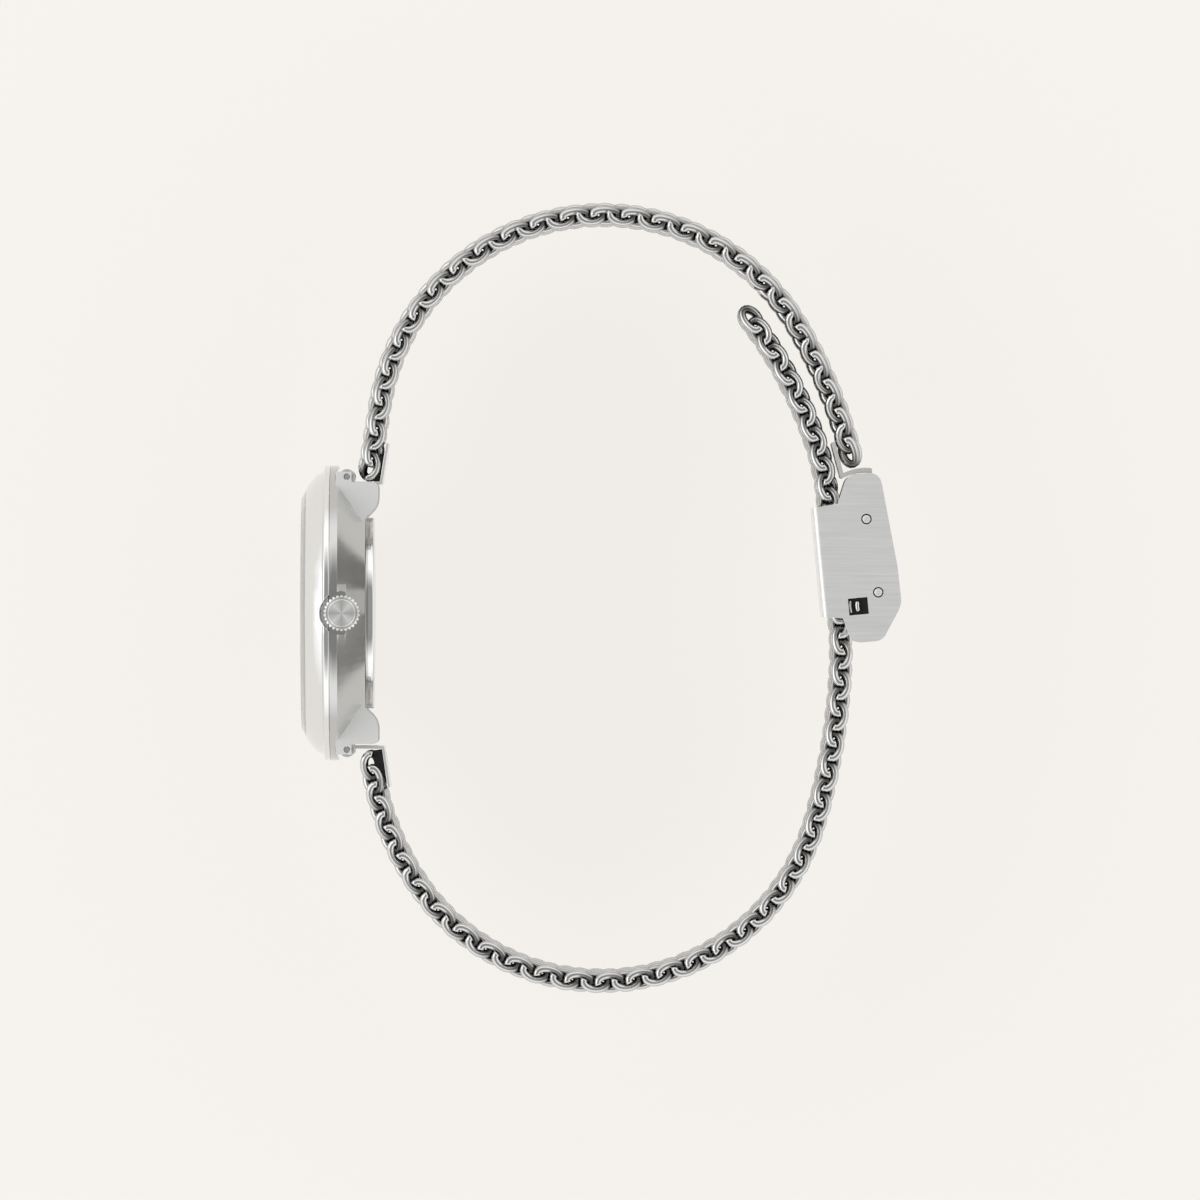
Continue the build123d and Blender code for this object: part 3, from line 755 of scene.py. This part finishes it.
def window_shade_plate(name, side):
    """A black plate of painted shade behind a window."""
    half_width = window_width / 2 + shade_plate_margin
    half_height = window_height / 2 + shade_plate_margin
    corners = [
        (window_across + x * half_width, window_along + y * half_height, side * z)
        for z in (shade_plate_low, shade_plate_high)
        for x, y in ((-1, -1), (1, -1), (1, 1), (-1, 1))
    ]
    faces = block_faces if side > 0 else [face[::-1] for face in block_faces]
    new_object(name, in_clasp(corners), faces, black, "lower_strap_8", smooth=False)


def window_bar(name, side, middle, radius, length):
    """A polished bar of the catch that shows in a window, a little bowed."""
    steps = np.linspace(-1, 1, bar_steps)
    swell = np.clip(1 + bar_end_share - steps**bar_end_power, bar_end_share, 1)
    across = window_across + middle - bar_bow * (1 - steps**2)
    along = window_along + steps * length / 2
    height = np.full(bar_steps, side * (shade_plate_high + radius + bar_gap))
    line = np.stack([across, along, height], axis=1)
    corners, faces = tube_around(line, radius, bar_sides)
    centres = line[:, None]
    rings = corners.reshape(bar_steps, bar_sides, 3)
    corners = (centres + (rings - centres) * np.sqrt(swell)[:, None, None]).reshape(-1, 3)
    new_object(name, in_clasp(corners), faces, polished, "lower_strap_8")


# Stage, lights and camera


def floor():
    """A plain pale floor that the watch lies on."""
    low, _ = cad_box
    middle = (mm(picture_middle[0]), 0, low.z)
    bpy.ops.mesh.primitive_plane_add(size=mm(floor_size), location=middle)
    plane = bpy.context.object
    plane.name = "floor"
    material, shader = new_material("floor", floor_color, 0.0, 0.9)
    shader.inputs["Specular IOR Level"].default_value = 0.1
    nodes, links = material.node_tree.nodes, material.node_tree.links
    glow = nodes.new("ShaderNodeEmission")
    glow.inputs["Color"].default_value = (*floor_color, 1)
    seen = nodes.new("ShaderNodeLightPath")
    either = nodes.new("ShaderNodeMath")
    either.operation = "ADD"
    either.use_clamp = True
    share = nodes.new("ShaderNodeMath")
    share.operation = "MULTIPLY"
    share.inputs[1].default_value = floor_plain_share
    mix = nodes.new("ShaderNodeMixShader")
    links.new(seen.outputs["Is Camera Ray"], either.inputs[0])
    links.new(seen.outputs["Is Glossy Ray"], either.inputs[1])
    links.new(either.outputs["Value"], share.inputs[0])
    links.new(share.outputs["Value"], mix.inputs["Fac"])
    links.new(shader.outputs["BSDF"], mix.inputs[1])
    links.new(glow.outputs["Emission"], mix.inputs[2])
    links.new(mix.outputs["Shader"], nodes["Material Output"].inputs["Surface"])
    plane.data.materials.append(material)


def left_lamp():
    """A square soft light from the left that faces the watch."""
    place, target = mm(*lamp_place), mm(*lamp_target)
    lamp = bpy.data.lights.new("left", "AREA")
    lamp.shape = "SQUARE"
    lamp.size = mm(lamp_size)
    lamp.energy = lamp_power
    light = bpy.data.objects.new("left", lamp)
    light.location = place
    light.rotation_euler = (target - place).to_track_quat("-Z", "Y").to_euler()
    bpy.context.scene.collection.objects.link(light)


def world():
    """Pale light from all round, greyer from straight above and below."""
    surroundings = bpy.data.worlds.new("world")
    bpy.context.scene.world = surroundings
    surroundings.use_nodes = True
    nodes, links = surroundings.node_tree.nodes, surroundings.node_tree.links
    place = nodes.new("ShaderNodeTexCoord")
    split = nodes.new("ShaderNodeSeparateXYZ")
    rise = nodes.new("ShaderNodeMath")
    rise.operation = "ABSOLUTE"
    ramp = nodes.new("ShaderNodeValToRGB")
    stops = ramp.color_ramp.elements
    stops[0].position, stops[0].color = world_low_rise, (*world_low, 1)
    stops[1].position, stops[1].color = world_top_rise, (*world_top, 1)
    for position in world_side_rises:
        stops.new(position).color = (*world_side, 1)
    background = nodes["Background"]
    background.inputs["Strength"].default_value = world_strength
    plain = nodes.new("ShaderNodeBackground")
    plain.inputs["Color"].default_value = (*floor_color, 1)
    seen = nodes.new("ShaderNodeLightPath")
    mix = nodes.new("ShaderNodeMixShader")
    links.new(place.outputs["Generated"], split.inputs["Vector"])
    links.new(split.outputs["Z"], rise.inputs[0])
    links.new(rise.outputs["Value"], ramp.inputs["Fac"])
    links.new(ramp.outputs["Color"], background.inputs["Color"])
    links.new(seen.outputs["Is Camera Ray"], mix.inputs["Fac"])
    links.new(background.outputs["Background"], mix.inputs[1])
    links.new(plain.outputs["Background"], mix.inputs[2])
    links.new(mix.outputs["Shader"], nodes["World Output"].inputs["Surface"])


def camera():
    """The camera: straight onto the crown's side, from far away."""
    lens = bpy.data.cameras.new("camera")
    lens.sensor_width = sensor_width
    lens.lens = sensor_width * camera_distance / picture_width
    lens.clip_end = mm(camera_clip)
    eye = bpy.data.objects.new("camera", lens)
    eye.location = mm(*picture_middle, camera_distance)
    bpy.context.scene.collection.objects.link(eye)
    bpy.context.scene.camera = eye


# Pieces made here

clasp_point, clasp_heading = strap_mesh()
# Black blocks of painted shade in the corners of the end sheets
painted_shade_block("upper_strap_painted_shade_block", "upper_strap_1", (upper_start, upper_heading), -1)
painted_shade_block("lower_strap_painted_shade_block", "lower_strap_1", (lower_start, lower_heading), 1)
crown()
rivet("hook_bar", "lower_strap_8")
rivet("lever_pin", "lower_strap_8")
# Behind each clasp window, a black plate of painted shade, and the bars that show in it
for plate, side in (("near", 1), ("far", -1)):
    window_shade_plate(f"clasp_window_shade_plate_{plate}", side)
    for number, (middle, radius, length) in enumerate(window_bars, 1):
        window_bar(f"clasp_window_bar_{plate}_{number}", side, middle, radius, length)

# The frame's own nodes that show as they are
dress("mid_case", case, case_rounding)
dress("bezel", polished, case_rounding)
dress("case_back", polished, back_rounding)
glazing = dress("crystal", glass, crystal_rounding)
glazing.data.materials.append(glass_edge)
for polygon in glazing.data.polygons:
    polygon.material_index = 0 if abs(polygon.normal.x) > crystal_front_share else 1
dress("dial", paint, dial_rounding)
dress("hour_markers", dark_steel, hand_rounding)
dress("hour_hand", dark_steel, hand_rounding)
dress("minute_hand", dark_steel, hand_rounding)
dress("movement", brass)
dress("setting_pinion", brass)
dress("crown_tube", sheet)
dress("stem", sheet)
for end in ("upper", "lower"):
    dress(f"{end}_bar_tube", sheet)
    for side in ("crown_side", "far_side"):
        dress(f"{end}_bar_tip_{side}", sheet)
    dress(f"{end}_strap_end", sheet, strap_end_rounding)
dress("hook_sheet", sheet, hook_rounding)
dress("clasp_body", brushed, clasp_rounding)
dress("clasp_lever", brushed, lever_rounding)

# The floor, the light and the camera
floor()
left_lamp()
world()
camera()
bpy.context.scene.view_settings.view_transform = "Standard"
